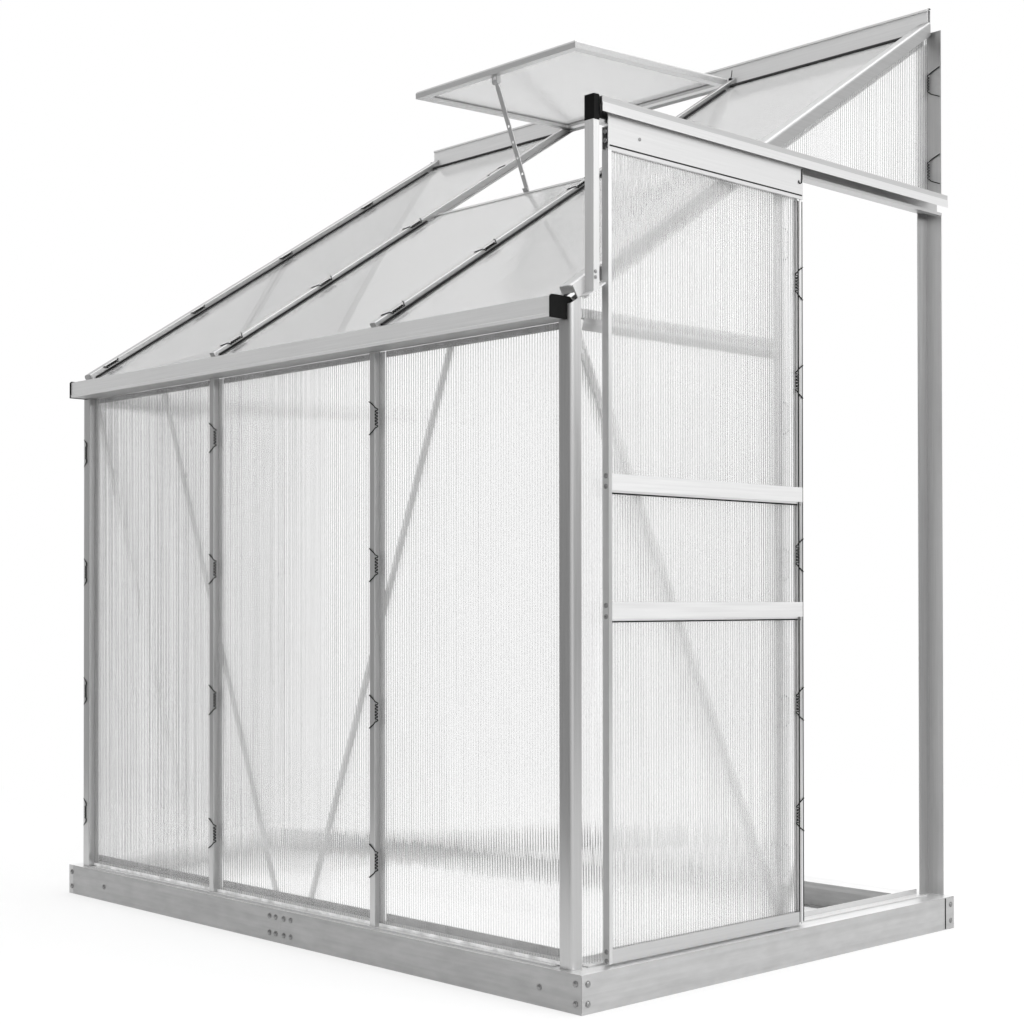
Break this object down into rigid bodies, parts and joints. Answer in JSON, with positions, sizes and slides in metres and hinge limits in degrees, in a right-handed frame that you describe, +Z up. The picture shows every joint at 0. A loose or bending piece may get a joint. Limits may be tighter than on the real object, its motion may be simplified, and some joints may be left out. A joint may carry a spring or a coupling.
{
  "type": "lean-to greenhouse",
  "caption": "Lean-to greenhouse of glazing bars and twin-wall sheets, with a sliding end door, a hinged roof vent on a stay, and a gutter.",
  "frame": {"origin": "on the ground under the middle of the overall box", "axes": "+Z up, +Y towards the house wall, +X towards the gable with the sliding door"},
  "size_m": [1.92, 1.3064, 2.213],
  "materials": {
    "aluminium_extrusion": "satin mill finish",
    "steel_base": "galvanised",
    "twin_wall_sheet": "translucent twin-wall, fine ribs",
    "black_cap": "moulded",
    "nylon_roller": "moulded"
  },
  "bodies": {
    "frame": {"base_rail_front_left": "steel_base", "base_rail_front_right": "steel_base", "base_rail_right": "steel_base", "base_rail_rear": "steel_base", "base_rail_left": "steel_base", "base_splice_front": "steel_base", "sill_front": "aluminium_extrusion", "sill_right": "aluminium_extrusion", "sill_left": "aluminium_extrusion", "corner_post_left": "aluminium_extrusion", "corner_post_right": "aluminium_extrusion", "wall_post_left": "aluminium_extrusion", "wall_post_right": "aluminium_extrusion", "stud_front_left": "aluminium_extrusion", "stud_front_right": "aluminium_extrusion", "gable_stud_left": "aluminium_extrusion", "door_post": "aluminium_extrusion", "gable_rail_left": "aluminium_extrusion", "gable_rail_right": "aluminium_extrusion", "gutter": "aluminium_extrusion", "ridge_bar": "aluminium_extrusion", "rafter_gable_left": "aluminium_extrusion", "rafter_mid_left": "aluminium_extrusion", "rafter_mid_right": "aluminium_extrusion", "rafter_gable_right": "aluminium_extrusion", "vent_crossbar": "aluminium_extrusion", "brace_front_left": "aluminium_extrusion", "brace_front_right": "aluminium_extrusion", "brace_gable_left": "aluminium_extrusion", "brace_gable_right": "aluminium_extrusion", "door_track": "aluminium_extrusion", "door_header": "aluminium_extrusion", "track_strut": "aluminium_extrusion", "gutter_cap_left": "black_cap", "gutter_cap_right": "black_cap", "track_end_cap": "black_cap", "roof_sheet_left": "twin_wall_sheet", "roof_sheet_middle": "twin_wall_sheet", "roof_sheet_right": "twin_wall_sheet", "front_sheet_left": "twin_wall_sheet", "front_sheet_middle": "twin_wall_sheet", "front_sheet_right": "twin_wall_sheet", "gable_sheet_left_lower": "twin_wall_sheet", "gable_sheet_left_upper": "twin_wall_sheet", "gable_sheet_left_rear": "twin_wall_sheet", "gable_sheet_right_lower": "twin_wall_sheet", "gable_sheet_right_upper": "twin_wall_sheet", "gable_sheet_over_door": "twin_wall_sheet"},
    "door": {"door_stile_front": "aluminium_extrusion", "door_stile_rear": "aluminium_extrusion", "door_rail_bottom": "aluminium_extrusion", "door_rail_lower": "aluminium_extrusion", "door_rail_upper": "aluminium_extrusion", "door_rail_top": "aluminium_extrusion", "door_sheet": "twin_wall_sheet"},
    "door_roller_front": {"door_roller_front": "nylon_roller"},
    "door_roller_rear": {"door_roller_rear": "nylon_roller"},
    "vent": {"vent_frame": "aluminium_extrusion", "vent_sheet": "twin_wall_sheet"},
    "stay": {"vent_stay": "aluminium_extrusion"}
  },
  "joints": [
    {"name": "door_slide", "type": "slide", "parent": "frame", "child": "door", "axis": [0, 1, 0], "range_m": [0, 0.547]},
    {"name": "roller_front_spin", "type": "hinge", "parent": "door", "child": "door_roller_front", "pos_m": [0.9332, -0.46535, 1.73034], "axis": [1, 0, 0], "range_deg": [-2620, 0]},
    {"name": "roller_rear_spin", "type": "hinge", "parent": "door", "child": "door_roller_rear", "pos_m": [0.9332, 0.03465, 1.73034], "axis": [1, 0, 0], "range_deg": [-2620, 0]},
    {"name": "vent_hinge", "type": "hinge", "parent": "frame", "child": "vent", "pos_m": [0, 0.62525, 2.16672], "axis": [1, 0, 0], "range_deg": [0, 30.18]},
    {"name": "stay_pivot", "type": "hinge", "parent": "vent", "child": "stay", "pos_m": [-0.005, 0.05883, 2.11756], "axis": [1, 0, 0], "range_deg": [0, 78.6]}
  ],
  "couplings": [
    {"joint": "roller_front_spin", "follows": "door_slide", "rad_per_m": -83.333},
    {"joint": "roller_rear_spin", "follows": "door_slide", "rad_per_m": -83.333},
    {"joint": "stay_pivot", "follows": "vent_hinge", "ratio": 2.5993}
  ]
}
